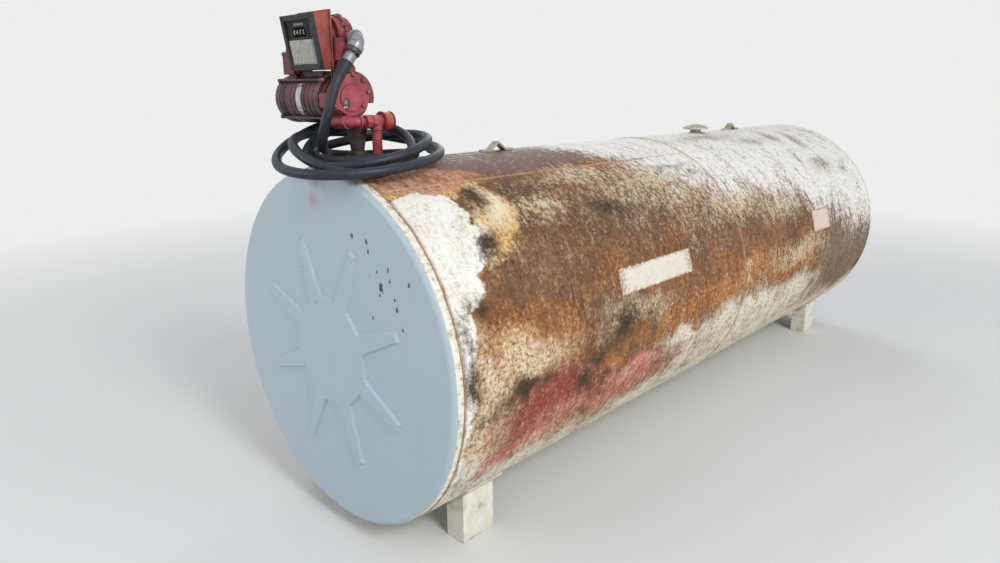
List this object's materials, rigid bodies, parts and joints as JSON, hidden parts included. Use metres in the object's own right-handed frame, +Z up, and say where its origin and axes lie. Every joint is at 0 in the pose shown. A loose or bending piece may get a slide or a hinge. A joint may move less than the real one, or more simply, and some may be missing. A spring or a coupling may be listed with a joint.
{
  "type": "horizontal fuel storage tank with transfer pump",
  "caption": "Horizontal cylindrical steel storage tank with flat pressed ends on short legs, with a top-mounted electric transfer pump, meter and coiled hose.",
  "frame": {"origin": "on the floor, under the middle of the tank's length and width", "axes": "+Z up, +Y along the tank from the pump end towards the plain end, +X to the side that the picture shows"},
  "size_m": [1.275, 3.8289, 1.81],
  "materials": {
    "weathered_shell": "worn",
    "weld_metal": "worn",
    "grey_end": "worn",
    "white_leg": "worn",
    "old_fitting": "worn",
    "dark_fitting": "worn",
    "red_casting": "worn",
    "pink_casting": "worn",
    "red_pipe": "worn",
    "orange_drum": "worn",
    "motor_paint": "worn",
    "bare_plate": "worn",
    "zinc_elbow": "worn",
    "dark_steel": "satin",
    "bezel_black": "satin",
    "dial_face": "matte",
    "hose_rubber": "matte",
    "coupling_metal": "worn"
  },
  "bodies": {
    "root": {"front_course": "weathered_shell", "rear_course": "weathered_shell", "girth_weld": "weld_metal", "seam_welds": "weld_metal", "head_welds": "weld_metal", "front_head": "grey_end", "rear_head": "grey_end", "leg_pads": "white_leg", "leg_front_right": "white_leg", "leg_front_left": "white_leg", "leg_rear_right": "white_leg", "leg_rear_left": "white_leg", "lug_front": "old_fitting", "lug_rear": "old_fitting", "vent_neck": "old_fitting", "vent_cap": "old_fitting", "pump_bung": "dark_fitting", "suction_coupling": "dark_fitting", "suction_pipe": "red_pipe", "suction_tee": "red_pipe", "strainer_drum": "orange_drum", "strainer_cap": "dark_fitting", "suction_union": "red_pipe", "suction_nipple": "red_pipe", "suction_elbow": "pink_casting", "pump_pedestal": "dark_fitting", "pump_body": "red_casting", "pump_faceplate": "pink_casting", "outlet_manifold": "pink_casting", "motor_adapter": "motor_paint", "motor_shell": "motor_paint", "motor_end_bell": "motor_paint", "motor_tie_rods": "motor_paint", "motor_nameplate": "bare_plate", "switch_box": "red_casting", "meter_neck": "red_casting", "meter_body": "red_casting", "meter_cover": "red_casting", "register_housing": "red_casting", "register_bezel": "bezel_black", "register_dial": "dial_face", "outlet_elbow": "zinc_elbow", "hose_swivel": "dark_steel", "hose_ferrule": "coupling_metal", "hose": "hose_rubber", "hose_end": "coupling_metal"}
  },
  "joints": []
}
